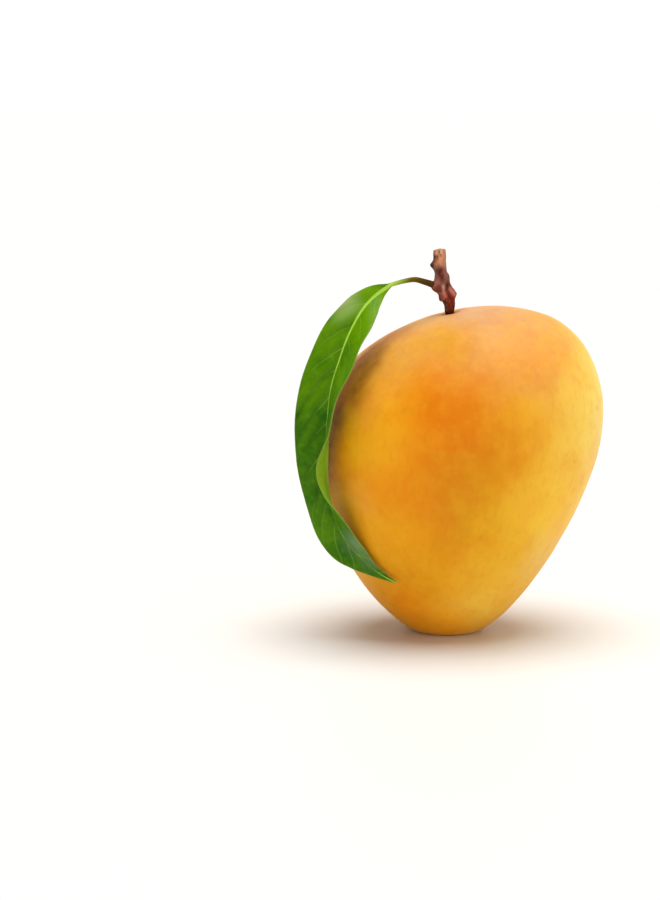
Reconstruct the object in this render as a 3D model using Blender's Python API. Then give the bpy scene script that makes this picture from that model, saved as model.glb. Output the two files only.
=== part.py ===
"""A ripe mango as picked: one fruit, its woody stalk and one drooping leaf.

Units are metres and +Z is up. The origin is the centre of the small flat spot that the fruit
rests on. The broad cheek looks along -Y, and the full shoulder is on the +X side.
"""

import math

import bmesh
import bpy
from mathutils import Vector

MM = 0.001
SHARP_ANGLE = math.radians(50)

# The fruit, measured on its broad cheek and across its thickness
FRUIT_HEIGHT = 95.0 * MM
FLAT_SPOT_DEPTH = 2.85 * MM
HALF_WIDTH = 39.7 * MM
HALF_THICKNESS = 33.5 * MM
WIDTH_FULLNESS = 0.28
THICKNESS_FULLNESS = 0.20
SHOULDER_LEAN = 13.4 * MM
LEAN_POWER = 3.4

# Soft swellings and hollows of the cheeks: direction, height and reach on the unit sphere
SWELLINGS = [
    (Vector((0.97, 0.0, 0.22)), 0.9 * MM, 0.36),
    (Vector((0.72, 0.0, 0.69)), -0.5 * MM, 0.30),
    (Vector((-0.30, -0.90, 0.30)), 0.7 * MM, 0.55),
    (Vector((0.45, -0.80, -0.35)), -0.6 * MM, 0.50),
    (Vector((-0.35, 0.85, -0.10)), -0.6 * MM, 0.55),
    (Vector((0.40, 0.85, 0.25)), 0.8 * MM, 0.55),
    (Vector((0.10, -0.45, 0.88)), -0.5 * MM, 0.35),
]
FRUIT_RINGS = 44
FRUIT_SEGMENTS = 64
RING_CROWDING = 1.22
SHORTEST_RIM_EDGE = 0.6 * MM

# The bowl that the stalk stands in
STALK_DIRECTION = Vector((-0.245, 0.0, 0.970)).normalized()
BOWL_RADIUS = 5.5 * MM
BOWL_DEPTH = 0.9 * MM
FOOT_GAP = 0.5 * MM

# The stalk, in millimetres: its middle line and radii, from above the foot to the broken end
STALK_LINE = [
    (0.4, -0.2, 95.4, 1.6),
    (-0.1, -0.4, 97.3, 1.95),
    (-0.8, -0.7, 99.2, 2.1),
    (-1.6, -1.0, 101.0, 2.2),
    (-2.0, -1.1, 103.0, 2.0),
    (-2.3, -1.1, 105.2, 1.8),
    (-2.5, -1.1, 107.6, 1.8),
    (-2.65, -1.0, 109.6, 1.85),
    (-2.7, -1.0, 111.2, 1.7),
]
FOOT_RADIUS = 1.25
COLLAR_RADIUS = 1.4
COLLAR_HEIGHT = 0.9
PLAIN_FOOT_RINGS = 3
RIDGE_HEIGHT = 0.07
FINE_RIDGE_HEIGHT = 0.05
END_SLOPE = 0.12
STALK_RINGS = 46
STALK_SEGMENTS = 26

# Lumps on the stalk: height, direction, bulge, reach up and reach down, and half angle
STALK_LUMPS = [
    (107.1, 182.0, 1.05, 1.0, 1.2, 26.0),
    (101.2, 188.0, 1.15, 1.4, 1.1, 39.0),
    (97.5, 196.0, 0.75, 1.7, 0.45, 38.0),
    (97.9, -18.0, 0.95, 1.5, 0.9, 32.0),
    (103.6, -8.0, 0.4, 0.9, 1.0, 36.0),
    (104.0, 100.0, 0.35, 1.6, 1.6, 45.0),
    (109.8, -70.0, 0.25, 1.3, 1.3, 35.0),
]

# The leaf's petiole: its middle line in millimetres, and its radii
PETIOLE_LINE = [
    (-5.6, -2.0, 101.1),
    (-7.2, -2.7, 102.2),
    (-9.8, -3.9, 102.95),
    (-13.0, -5.2, 102.6),
]
PETIOLE_RADIUS = 0.56 * MM
JOINT_RADIUS = 0.9 * MM

# The blade's midrib in millimetres, from its base to its tip
MIDRIB_LINE = [
    (-16.8, -6.8, 101.7),
    (-21.4, -8.9, 98.5),
    (-25.2, -11.0, 94.2),
    (-28.8, -13.4, 87.4),
    (-31.3, -15.4, 80.6),
    (-33.4, -16.9, 73.6),
    (-34.5, -18.2, 64.5),
    (-35.0, -18.8, 55.0),
    (-34.9, -18.6, 46.0),
    (-33.0, -18.1, 38.2),
    (-29.7, -18.2, 30.6),
    (-25.2, -19.4, 25.4),
    (-20.6, -21.0, 21.5),
    (-15.3, -22.4, 18.5),
]

# Stations along the blade: share of its length, half widths to the right and to the left, and
# the angles at which these halves leave the midrib, from across (0) towards the viewer (90)
BLADE_STATIONS = [
    (0.00, 0.65, 0.65, 0.0, 0.0),
    (0.035, 1.7, 2.4, 15.0, 0.0),
    (0.06, 3.0, 3.6, 40.0, -3.0),
    (0.10, 4.9, 5.2, 48.0, -6.0),
    (0.18, 7.8, 7.5, 63.0, -9.0),
    (0.28, 9.1, 8.8, 73.0, -10.0),
    (0.38, 9.6, 9.5, 84.0, -10.0),
    (0.48, 9.8, 9.8, 95.0, -10.0),
    (0.57, 9.3, 8.8, 112.0, -10.0),
    (0.65, 8.7, 7.6, 103.0, -12.0),
    (0.71, 7.9, 7.4, 86.0, -12.0),
    (0.77, 6.9, 7.2, 70.0, -9.0),
    (0.83, 5.2, 6.2, 60.0, -4.0),
    (0.88, 3.4, 4.2, 50.0, 4.0),
    (0.92, 1.9, 2.4, 44.0, 8.0),
    (0.96, 1.0, 1.1, 20.0, 5.0),
    (1.00, 0.45, 0.45, 0.0, 0.0),
]
BLADE_HALF_THICKNESS = 0.32 * MM
MIDRIB_BULGE = 0.42 * MM
MIDRIB_REACH = 0.9 * MM
RIB_TAPER = 1.15
MARGIN_CURL = 12.0
MARGIN_WAVE = 5.0
WAVES_ALONG = 5.5
SHOULDER_SHARE = 0.035
ROUND_SHARE = 0.95
LEAF_RINGS = 84
PETIOLE_RINGS = 16
ACROSS = [-1.0, -0.85, -0.65, -0.45, -0.28, -0.13, 0.0, 0.13, 0.28, 0.45, 0.65, 0.85, 1.0]


def clear_scene():
    for thing in list(bpy.data.objects):
        bpy.data.objects.remove(thing, do_unlink=True)


def make_material(name, colour, roughness):
    material = bpy.data.materials.new(name)
    material.use_nodes = True
    shader = material.node_tree.nodes["Principled BSDF"]
    shader.inputs["Base Color"].default_value = (*colour, 1.0)
    shader.inputs["Roughness"].default_value = roughness
    shader.inputs["Metallic"].default_value = 0.0
    return material


def make_object(name, mesh_builder, material):
    """Turn a bmesh into a smooth-shaded object with its own material."""
    bmesh.ops.recalc_face_normals(mesh_builder, faces=mesh_builder.faces)
    mesh = bpy.data.meshes.new(name)
    mesh_builder.to_mesh(mesh)
    mesh_builder.free()
    mesh.materials.append(material)
    mesh.shade_smooth()
    mesh.set_sharp_from_angle(angle=SHARP_ANGLE)
    thing = bpy.data.objects.new(name, mesh)
    bpy.context.collection.objects.link(thing)
    return thing


def blend_rows(rows, share):
    """Read a smooth curve through rows of numbers, at a share of its length in rows."""
    place = min(max(share, 0.0), 1.0) * (len(rows) - 1)
    start = min(int(place), len(rows) - 2)
    step = place - start
    before = rows[max(start - 1, 0)]
    here = rows[start]
    there = rows[start + 1]
    after = rows[min(start + 2, len(rows) - 1)]
    return [
        0.5 * (2 * b + (c - a) * step + (2 * a - 5 * b + 4 * c - d) * step**2
               + (3 * b - a - 3 * c + d) * step**3)
        for a, b, c, d in zip(before, here, there, after)
    ]


def even_line(rows, count):
    """Points at even distances along the smooth curve through the rows."""
    fine = 40 * len(rows)
    curve = [blend_rows(rows, i / fine) for i in range(fine + 1)]
    lengths = [0.0]
    for first, second in zip(curve, curve[1:]):
        lengths.append(lengths[-1] + (Vector(second[:3]) - Vector(first[:3])).length)
    points = []
    index = 0
    for i in range(count):
        target = lengths[-1] * i / (count - 1)
        while index < fine - 1 and lengths[index + 1] < target:
            index += 1
        step = (target - lengths[index]) / (lengths[index + 1] - lengths[index])
        points.append([a + (b - a) * step for a, b in zip(curve[index], curve[index + 1])])
    return points


def station(share):
    """Half widths and fold angles of the blade at a share of its length."""
    index = 0
    while index < len(BLADE_STATIONS) - 2 and BLADE_STATIONS[index + 1][0] < share:
        index += 1
    first = BLADE_STATIONS[index]
    second = BLADE_STATIONS[index + 1]
    step = (share - first[0]) / (second[0] - first[0])
    return blend_rows([row[1:] for row in BLADE_STATIONS], (index + step) / (len(BLADE_STATIONS) - 1))


def skin_point(direction):
    """The skin's point for a unit direction from the heart of the fruit."""
    full_height = FRUIT_HEIGHT + FLAT_SPOT_DEPTH
    level = 0.5 * (1 + direction.z)
    across = HALF_WIDTH * direction.x * (1 + WIDTH_FULLNESS * direction.z)
    through = HALF_THICKNESS * direction.y * (1 + THICKNESS_FULLNESS * direction.z)
    lean = SHOULDER_LEAN * level**LEAN_POWER
    point = Vector((across + lean, through, full_height * level - FLAT_SPOT_DEPTH))
    for centre, height, reach in SWELLINGS:
        point += direction * height * math.exp(-((direction - centre).length / reach) ** 2)
    return point


def skin_normal(direction):
    """Outward normal of the skin, from two small steps along it."""
    step = 1e-3
    side = direction.cross(Vector((0, 1, 0))).normalized()
    ahead = side.cross(direction)
    here = skin_point(direction)
    along_side = skin_point((direction + side * step).normalized()) - here
    along_ahead = skin_point((direction + ahead * step).normalized()) - here
    normal = along_side.cross(along_ahead).normalized()
    return normal if normal.dot(direction) > 0 else -normal


BOWL_CENTRE = skin_point(STALK_DIRECTION)
BOWL_NORMAL = skin_normal(STALK_DIRECTION)


def bowl_depth_at(point):
    """How far the skin sinks at a point, round the stalk's foot."""
    reach = (point - BOWL_CENTRE).length / BOWL_RADIUS
    return BOWL_DEPTH * (1 - reach**2) ** 2 if reach < 1 else 0.0


def make_fruit():
    """One egg-shaped solid with its pole under the stalk and its apex cut flat."""
    turn_to_stalk = Vector((0, 0, 1)).rotation_difference(STALK_DIRECTION)
    builder = bmesh.new()
    rings = []
    for i in range(FRUIT_RINGS + 1):
        turn = math.pi * (i / FRUIT_RINGS) ** RING_CROWDING
        count = 1 if i in (0, FRUIT_RINGS) else FRUIT_SEGMENTS
        ring = []
        for j in range(count):
            angle = 2 * math.pi * j / FRUIT_SEGMENTS
            direction = turn_to_stalk @ Vector(
                (math.sin(turn) * math.cos(angle), math.sin(turn) * math.sin(angle), math.cos(turn)))
            point = skin_point(direction)
            ring.append(builder.verts.new(point - BOWL_NORMAL * bowl_depth_at(point)))
        rings.append(ring)
    for first, second in zip(rings, rings[1:]):
        for j in range(FRUIT_SEGMENTS):
            following = (j + 1) % FRUIT_SEGMENTS
            corners = [first[j % len(first)], first[following % len(first)],
                       second[following % len(second)], second[j % len(second)]]
            builder.faces.new(list(dict.fromkeys(corners)))
    everything = builder.verts[:] + builder.edges[:] + builder.faces[:]
    bmesh.ops.bisect_plane(builder, geom=everything, dist=1e-7, plane_co=(0, 0, 0),
                           plane_no=(0, 0, -1), clear_outer=True)
    rim = [vertex for vertex in builder.verts if abs(vertex.co.z) < 1e-6]
    bmesh.ops.remove_doubles(builder, verts=rim, dist=SHORTEST_RIM_EDGE)
    bmesh.ops.holes_fill(builder, edges=[edge for edge in builder.edges if edge.is_boundary])
    return make_object("fruit", builder, make_material("skin", (0.86, 0.42, 0.05), 0.45))


def lump_height(height, angle):
    """How far the stalk bulges at a height and an angle in degrees, in millimetres."""
    bulge = 0.0
    for centre, direction, size, reach_up, reach_down, half_angle in STALK_LUMPS:
        above = height - centre
        reach = reach_up if above > 0 else reach_down
        turn = (angle - direction + 180) % 360 - 180
        bulge += size * math.exp(-(above / reach) ** 2 - (turn / half_angle) ** 2)
    ridges = RIDGE_HEIGHT * math.cos(math.radians(3 * angle) + 0.5 * height)
    fine_ridges = FINE_RIDGE_HEIGHT * math.cos(math.radians(7 * angle) - 0.35 * height)
    return bulge + ridges + fine_ridges


def make_stalk():
    """A crooked woody peg with its scars and buds, in one lofted skin."""
    foot = (BOWL_CENTRE - BOWL_NORMAL * (BOWL_DEPTH - FOOT_GAP)) / MM
    collar = foot + BOWL_NORMAL * COLLAR_HEIGHT
    line = even_line([(*foot, FOOT_RADIUS), (*collar, COLLAR_RADIUS)] + STALK_LINE, STALK_RINGS)
    builder = bmesh.new()
    rings = []
    for i, (x, y, z, radius) in enumerate(line):
        before = Vector(line[max(i - 1, 0)][:3])
        after = Vector(line[min(i + 1, len(line) - 1)][:3])
        along = BOWL_NORMAL if i == 0 else (after - before).normalized()
        side = (Vector((1, 0, 0)) - along * along.x).normalized()
        front = along.cross(side)
        ring = []
        for j in range(STALK_SEGMENTS):
            angle = 360 * j / STALK_SEGMENTS
            out = side * math.cos(math.radians(angle)) + front * math.sin(math.radians(angle))
            wide = radius + (lump_height(z, angle) if i >= PLAIN_FOOT_RINGS else 0.0)
            point = Vector((x, y, z)) + out * wide
            if i == len(line) - 1:
                point += along * END_SLOPE * out.x * wide
            ring.append(builder.verts.new(point * MM))
        rings.append(ring)
    for first, second in zip(rings, rings[1:]):
        for j in range(STALK_SEGMENTS):
            following = (j + 1) % STALK_SEGMENTS
            builder.faces.new([first[j], first[following], second[following], second[j]])
    builder.faces.new(rings[0])
    builder.faces.new(rings[-1])
    return make_object("stem", builder, make_material("bark", (0.24, 0.11, 0.07), 0.85))


def half_section(centre, across, up, half_width, fold, curl, wave):
    """Points and normals of one half of a cut across the leaf, from the midrib outwards."""
    middle = ACROSS.index(0.0)
    points = []
    normals = []
    place = centre
    previous = 0.0
    for reach in ACROSS[middle + 1:]:
        angle = math.radians(fold - curl * reach + wave * reach**2)
        direction = across * math.cos(angle) + up * math.sin(angle)
        place = place + direction * (reach - previous) * half_width
        previous = reach
        points.append(place)
        normals.append(up * math.cos(angle) - across * math.sin(angle))
    return points, normals


def leaf_section(share, in_blade, centre, along):
    """Upper and lower points of one cut across the leaf, from the left margin to the right."""
    up = (Vector((0, -1, 0)) + along * along.y).normalized()
    right = up.cross(along)
    radius = PETIOLE_RADIUS
    if in_blade:
        wide_right, wide_left, fold_right, fold_left = station(share)
        wide_right *= MM
        wide_left *= MM
        flatness = min(share / SHOULDER_SHARE, 1.0)
    else:
        radius += (JOINT_RADIUS - PETIOLE_RADIUS) * (1 - share) ** 3
        wide_right = wide_left = radius * ROUND_SHARE
        fold_right = fold_left = flatness = 0.0
    curl = MARGIN_CURL * flatness
    wave = MARGIN_WAVE * math.sin(2 * math.pi * WAVES_ALONG * share) * flatness
    points_right, normals_right = half_section(centre, right, up, wide_right, fold_right, curl, wave)
    points_left, normals_left = half_section(centre, -right, up, wide_left, fold_left, curl, wave)
    half_fold = math.radians((fold_right + fold_left) / 2)
    lean = math.radians((fold_left - fold_right) / 2)
    mitre = (up * math.cos(lean) + right * math.sin(lean)) / math.cos(half_fold)
    points = points_left[::-1] + [centre] + points_right
    normals = normals_left[::-1] + [mitre] + normals_right
    upper = []
    lower = []
    for reach, point, normal in zip(ACROSS, points, normals):
        round_half = radius * math.sqrt(1 - (ROUND_SHARE * reach) ** 2)
        distance = abs(reach) * (wide_right if reach > 0 else wide_left)
        rib = MIDRIB_BULGE * (RIB_TAPER - share) * math.exp(-(distance / MIDRIB_REACH) ** 2)
        upper_half = round_half + (BLADE_HALF_THICKNESS - round_half) * flatness
        lower_half = round_half + (BLADE_HALF_THICKNESS + rib - round_half) * flatness
        upper.append(point + normal * upper_half)
        lower.append(point - normal * lower_half)
    return upper, lower


def make_leaf():
    """Petiole, midrib and folded blade in one lofted skin."""
    petiole = even_line(PETIOLE_LINE + MIDRIB_LINE[:1], PETIOLE_RINGS)
    blade = even_line(MIDRIB_LINE, LEAF_RINGS)
    stations = [(i / (PETIOLE_RINGS - 1), False, row) for i, row in enumerate(petiole[:-1])]
    stations += [(i / (LEAF_RINGS - 1), True, row) for i, row in enumerate(blade)]
    places = [Vector(row) * MM for _, _, row in stations]
    builder = bmesh.new()
    uppers = []
    lowers = []
    for i, (share, in_blade, _) in enumerate(stations):
        before = places[max(i - 1, 0)]
        after = places[min(i + 1, len(places) - 1)]
        upper, lower = leaf_section(share, in_blade, places[i], (after - before).normalized())
        uppers.append([builder.verts.new(point) for point in upper])
        lowers.append([builder.verts.new(point) for point in lower])
    last = len(ACROSS) - 1
    for i in range(len(places) - 1):
        for rows in (uppers, lowers):
            for j in range(last):
                first, second = rows[i], rows[i + 1]
                builder.faces.new([first[j], first[j + 1], second[j + 1]])
                builder.faces.new([first[j], second[j + 1], second[j]])
        for j in (0, last):
            builder.faces.new([uppers[i][j], lowers[i][j], lowers[i + 1][j], uppers[i + 1][j]])
    for i in (0, len(places) - 1):
        for j in range(last):
            builder.faces.new([uppers[i][j], uppers[i][j + 1], lowers[i][j + 1], lowers[i][j]])
    return make_object("leaf", builder, make_material("leaf green", (0.09, 0.26, 0.02), 0.4))


clear_scene()
make_fruit()
make_stalk()
make_leaf()
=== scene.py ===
# %% [markdown]
# A ripe mango in Blender: one egg-shaped fruit with a soft skin, a woody stalk and a folded leaf.
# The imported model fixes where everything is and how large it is. The lesson loads it first, and
# every piece made below stands in the place of one of its solids.

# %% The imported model
import math

import bpy
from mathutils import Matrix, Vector


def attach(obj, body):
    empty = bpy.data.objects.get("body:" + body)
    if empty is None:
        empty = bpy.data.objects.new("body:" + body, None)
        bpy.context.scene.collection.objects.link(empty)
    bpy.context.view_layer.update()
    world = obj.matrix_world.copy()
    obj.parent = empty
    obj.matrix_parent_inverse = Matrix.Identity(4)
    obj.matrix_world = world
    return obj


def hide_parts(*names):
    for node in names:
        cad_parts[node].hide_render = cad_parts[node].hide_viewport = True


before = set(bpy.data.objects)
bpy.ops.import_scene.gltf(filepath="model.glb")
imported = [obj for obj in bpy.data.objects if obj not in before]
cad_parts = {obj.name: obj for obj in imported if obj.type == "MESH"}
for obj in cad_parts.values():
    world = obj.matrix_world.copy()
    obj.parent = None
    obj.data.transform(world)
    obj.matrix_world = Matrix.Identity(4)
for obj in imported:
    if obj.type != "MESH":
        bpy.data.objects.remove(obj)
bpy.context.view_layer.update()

MM = 0.001

# %% [markdown]
# The camera comes before any piece, so that every later step can be judged from the same place.
# It looks along +Y and nine degrees down, from about seventy centimetres, through a long lens.
# The fruit stands right of the middle of the picture, so the camera is aimed at a point to its
# left: that keeps the lens straight, with no shift.

# %% Camera
CAMERA_ELEVATION = math.radians(9.0)
CAMERA_DISTANCE = 0.725
CAMERA_LENS = 100.0
AIM = Vector((-0.0340, 0.0, 0.0531))


def add_camera():
    camera_data = bpy.data.cameras.new("Camera")
    camera_data.lens = CAMERA_LENS
    camera_data.clip_start = 0.01
    camera = bpy.data.objects.new("Camera", camera_data)
    looking = Vector((0, math.cos(CAMERA_ELEVATION), -math.sin(CAMERA_ELEVATION)))
    camera.location = AIM - looking * CAMERA_DISTANCE
    camera.rotation_euler = (math.pi / 2 - CAMERA_ELEVATION, 0, 0)
    bpy.context.scene.collection.objects.link(camera)
    bpy.context.scene.camera = camera
    return camera


camera = add_camera()
print("camera at", [round(c, 3) for c in camera.location])

# %% [markdown]
# Shaders and Geometry Nodes both need sums, and a sum built node by node is hard to read. A small
# class wraps a socket, so that `1 - mask * 0.5` adds the Math nodes by itself. A second class is
# the bench that every other node is added on: its type first, then its settings, and last the
# values or links of its sockets.

# %% Sums as Python, and one way to add a node


class Socket:
    """An output socket. Python's operators on it add Math nodes to its tree."""

    def __init__(self, tree, output):
        self.tree = tree
        self.output = output

    def maths(self, operation, *values, flip=False):
        node = self.tree.nodes.new("ShaderNodeMath")
        node.operation = operation
        ordered = (*values, self) if flip else (self, *values)
        for socket, value in zip(node.inputs, ordered):
            plug(self.tree, socket, value)
        return Socket(self.tree, node.outputs[0])

    def __add__(self, other):
        return self.maths("ADD", other)

    def __sub__(self, other):
        return self.maths("SUBTRACT", other)

    def __rsub__(self, other):
        return self.maths("SUBTRACT", other, flip=True)

    def __mul__(self, other):
        return self.maths("MULTIPLY", other)

    def __truediv__(self, other):
        return self.maths("DIVIDE", other)

    def __pow__(self, other):
        return self.maths("POWER", other)

    def __neg__(self):
        return self * -1

    __radd__ = __add__
    __rmul__ = __mul__

    def clamp(self):
        node = self.tree.nodes.new("ShaderNodeClamp")
        plug(self.tree, node.inputs["Value"], self)
        return Socket(self.tree, node.outputs[0])

    def soft(self):
        """The value between 0 and 1, eased at both ends."""
        share = self.clamp()
        return share * share * (3 - 2 * share)


def plug(tree, socket, value):
    """Link a wrapped socket, or set a plain value."""
    if isinstance(value, Socket):
        tree.links.new(value.output, socket)
    else:
        socket.default_value = value


def exp(value):
    return value.maths("EXPONENT") if isinstance(value, Socket) else math.exp(value)


class Bench:
    """Adds nodes to one tree."""

    def __init__(self, tree):
        self.tree = tree

    def node(self, kind, settings=None, sockets=None):
        node = self.tree.nodes.new(kind)
        for name, value in (settings or {}).items():
            if name == "stops":
                set_stops(node.color_ramp, value)
            else:
                setattr(node, name, value)
        for name, value in (sockets or {}).items():
            plug(self.tree, node.inputs[name], value)
        return node

    def get(self, output, kind, settings=None, sockets=None):
        """Add a node and wrap one of its outputs."""
        return Socket(self.tree, self.node(kind, settings, sockets).outputs[output])

    def vector(self, operation, *values, output="Vector"):
        """Vector Math on positions and directions."""
        sockets = dict(enumerate(values))
        return self.get(output, "ShaderNodeVectorMath", {"operation": operation}, sockets)

    def scaled(self, vector, size):
        return self.get("Vector", "ShaderNodeVectorMath", {"operation": "SCALE"},
                        {"Vector": vector, "Scale": size})

    def parts(self, vector):
        """The x, y and z of a vector."""
        node = self.node("ShaderNodeSeparateXYZ", None, {0: vector})
        return [Socket(self.tree, output) for output in node.outputs]

    def mix(self, share, first, second):
        """Mix two colours; a plain colour is a tuple of three."""
        settings = {"data_type": "RGBA", "clamp_factor": True}
        colours = [c if isinstance(c, Socket) else (*c, 1.0) for c in (first, second)]
        return self.get(2, "ShaderNodeMix", settings, {0: share, 6: colours[0], 7: colours[1]})


def set_stops(ramp, stops):
    """Give a colour ramp its (place, colour) stops."""
    while len(ramp.elements) < len(stops):
        ramp.elements.new(1.0)
    for element, (place, colour) in zip(ramp.elements, stops):
        element.position = place
        element.color = (*colour, 1.0)


# %% [markdown]
# Colours are given in the usual 0 to 255 steps, but a shader works in linear light. This
# turns one into the other. A finish starts as a Principled BSDF, whose constants are set on its
# own sockets, and whose changing values are linked in later.

# %% Colours and finishes


def paint(red, green, blue):
    """A linear colour from the 0 to 255 steps of a colour picker."""
    steps = [channel / 255 for channel in (red, green, blue)]
    return tuple(s / 12.92 if s <= 0.04045 else ((s + 0.055) / 1.055) ** 2.4 for s in steps)


def new_finish(name, constants):
    """A material with one Principled BSDF; returns it, its bench and the shader node."""
    material = bpy.data.materials.new(name)
    material.use_nodes = True
    tree = material.node_tree
    tree.nodes.clear()
    bench = Bench(tree)
    shader = bench.node("ShaderNodeBsdfPrincipled", None, constants)
    output = bench.node("ShaderNodeOutputMaterial")
    tree.links.new(shader.outputs["BSDF"], output.inputs["Surface"])
    return material, bench, shader


def roughened(bench, shader, height, distance):
    """Link a height through a Bump node into the shader's normal."""
    bump = bench.get("Normal", "ShaderNodeBump", None,
                     {"Strength": 1.0, "Distance": distance, "Height": height})
    plug(bench.tree, shader.inputs["Normal"], bump)


# %% [markdown]
# Geometry Nodes trees are built here in the script too. Each tree gets named inputs for its
# sizes, and ends in Realize Instances and Set Material. The result is read from the evaluated
# object as a plain mesh, and the object that carried the modifier is thrown away.

# %% Geometry Nodes trees


def geometry_tree(name, sizes):
    """A Geometry Nodes tree with a geometry input and one float or vector input for each size."""
    tree = bpy.data.node_groups.new(name, "GeometryNodeTree")
    tree.interface.new_socket("Geometry", in_out="INPUT", socket_type="NodeSocketGeometry")
    tree.interface.new_socket("Geometry", in_out="OUTPUT", socket_type="NodeSocketGeometry")
    for label, value in sizes.items():
        kind = "NodeSocketFloat" if isinstance(value, float) else "NodeSocketVector"
        tree.interface.new_socket(label, in_out="INPUT", socket_type=kind)
    bench = Bench(tree)
    entry = bench.node("NodeGroupInput")
    inputs = {label: Socket(tree, entry.outputs[label]) for label in ("Geometry", *sizes)}
    return tree, bench, inputs


def close_tree(bench, geometry, material):
    """End a tree with Realize Instances and Set Material."""
    realized = bench.get("Geometry", "GeometryNodeRealizeInstances", None, {"Geometry": geometry})
    dressed = bench.get("Geometry", "GeometryNodeSetMaterial", None,
                        {"Geometry": realized, "Material": material})
    exit_node = bench.node("NodeGroupOutput")
    plug(bench.tree, exit_node.inputs["Geometry"], dressed)


def grown_mesh(name, start, tree, sizes, material):
    """Run a tree on a start mesh and keep the result as a plain, smooth-shaded object."""
    carrier = bpy.data.objects.new(name + "_carrier", start)
    bpy.context.scene.collection.objects.link(carrier)
    modifier = carrier.modifiers.new(name, "NODES")
    modifier.node_group = tree
    for item in tree.interface.items_tree:
        if item.in_out == "INPUT" and item.name in sizes:
            modifier[item.identifier] = sizes[item.name]
    graph = bpy.context.evaluated_depsgraph_get()
    mesh = bpy.data.meshes.new_from_object(carrier.evaluated_get(graph), depsgraph=graph)
    bpy.data.objects.remove(carrier, do_unlink=True)
    mesh.name = name
    mesh.materials.clear()
    mesh.materials.append(material)
    mesh.shade_smooth()
    piece = bpy.data.objects.new(name, mesh)
    bpy.context.scene.collection.objects.link(piece)
    triangles = sum(len(face.vertices) - 2 for face in mesh.polygons)
    print(name, "has", len(mesh.vertices), "points and", triangles, "triangles")
    return piece


def start_mesh(name, points, faces):
    mesh = bpy.data.meshes.new(name)
    mesh.from_pydata([tuple(point) for point in points], [], faces)
    mesh.update()
    return mesh


# %% [markdown]
# A mango is an egg that leans: full at the shoulder, narrow at the foot, and thinner than it is
# wide. One rule gives all of that. Each point of a unit sphere is a direction from the heart of
# the fruit, and the rule says how far the skin is that way. Because the rule is written with
# plain operators, Python can read it for a single point, and the Geometry Nodes tree can be made
# of it for the whole skin.

# %% The rule for the skin
FRUIT = {
    "Fruit Height": 95.0 * MM,
    "Flat Spot Depth": 2.85 * MM,
    "Half Width": 39.7 * MM,
    "Half Thickness": 33.5 * MM,
    "Width Fullness": 0.28,
    "Thickness Fullness": 0.20,
    "Shoulder Lean": 13.4 * MM,
    "Lean Power": 3.4,
}

# Soft swellings and hollows of the cheeks: direction, height and reach on the unit sphere
SWELLINGS = [
    (Vector((0.97, 0.0, 0.22)), 0.9 * MM, 0.36),
    (Vector((0.72, 0.0, 0.69)), -0.5 * MM, 0.30),
    (Vector((-0.30, -0.90, 0.30)), 0.7 * MM, 0.55),
    (Vector((0.45, -0.80, -0.35)), -0.6 * MM, 0.50),
    (Vector((-0.35, 0.85, -0.10)), -0.6 * MM, 0.55),
    (Vector((0.40, 0.85, 0.25)), 0.8 * MM, 0.55),
    (Vector((0.10, -0.45, 0.88)), -0.5 * MM, 0.35),
]


def skin_rule(x, y, z, size):
    """Place of the skin, as three sums, for a direction from the heart of the fruit."""
    level = (z + 1) * 0.5
    place = [
        x * size["Half Width"] * (z * size["Width Fullness"] + 1)
        + level ** size["Lean Power"] * size["Shoulder Lean"],
        y * size["Half Thickness"] * (z * size["Thickness Fullness"] + 1),
        level * (size["Fruit Height"] + size["Flat Spot Depth"]) - size["Flat Spot Depth"],
    ]
    for centre, height, reach in SWELLINGS:
        spread = (x - centre.x) ** 2 + (y - centre.y) ** 2 + (z - centre.z) ** 2
        swell = exp(spread * (-1 / reach**2)) * height
        place = [part + swell * along for part, along in zip(place, (x, y, z))]
    return place


def skin_point(direction):
    return Vector(skin_rule(*direction, FRUIT))


def skin_normal(direction):
    """Outward normal of the skin, from two small steps along it."""
    step = 1e-3
    side = direction.cross(Vector((0, 1, 0))).normalized()
    ahead = side.cross(direction)
    here = skin_point(direction)
    along_side = skin_point((direction + side * step).normalized()) - here
    along_ahead = skin_point((direction + ahead * step).normalized()) - here
    normal = along_side.cross(along_ahead).normalized()
    return normal if normal.dot(direction) > 0 else -normal


STALK_DIRECTION = Vector((-0.245, 0.0, 0.970)).normalized()
BOWL_RADIUS = 5.5 * MM
BOWL_DEPTH = 0.9 * MM
bowl_centre = skin_point(STALK_DIRECTION)
bowl_normal = skin_normal(STALK_DIRECTION)
print("the stalk stands at", [round(c / MM, 1) for c in bowl_centre], "mm")

# %% [markdown]
# The skin's colour is a golden yellow with patches that the sun and the ripening gave it: an
# orange blush on the broad cheek, a pink one on the shoulder and a duller gold below. Other
# patches are painted light and shade: a paler right flank and rim and a pale crown are the
# fruit's own yellow and peach with a painted sheen, a lighter patch low on the left cheek is
# painted light, and dark brown along the left rim and the crown's left edge is painted shade of
# the leaf and of fruits not built here. Each patch is a soft ball of colour round a point in
# Object coordinates, bent by noise so that it has no clean edge. Small pale pores, fine mottling
# and a few brown specks come on top, and the same pores are shallow pits in the Bump.

# %% Finish of the skin
SKIN_GOLD = paint(240, 168, 14)
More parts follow.
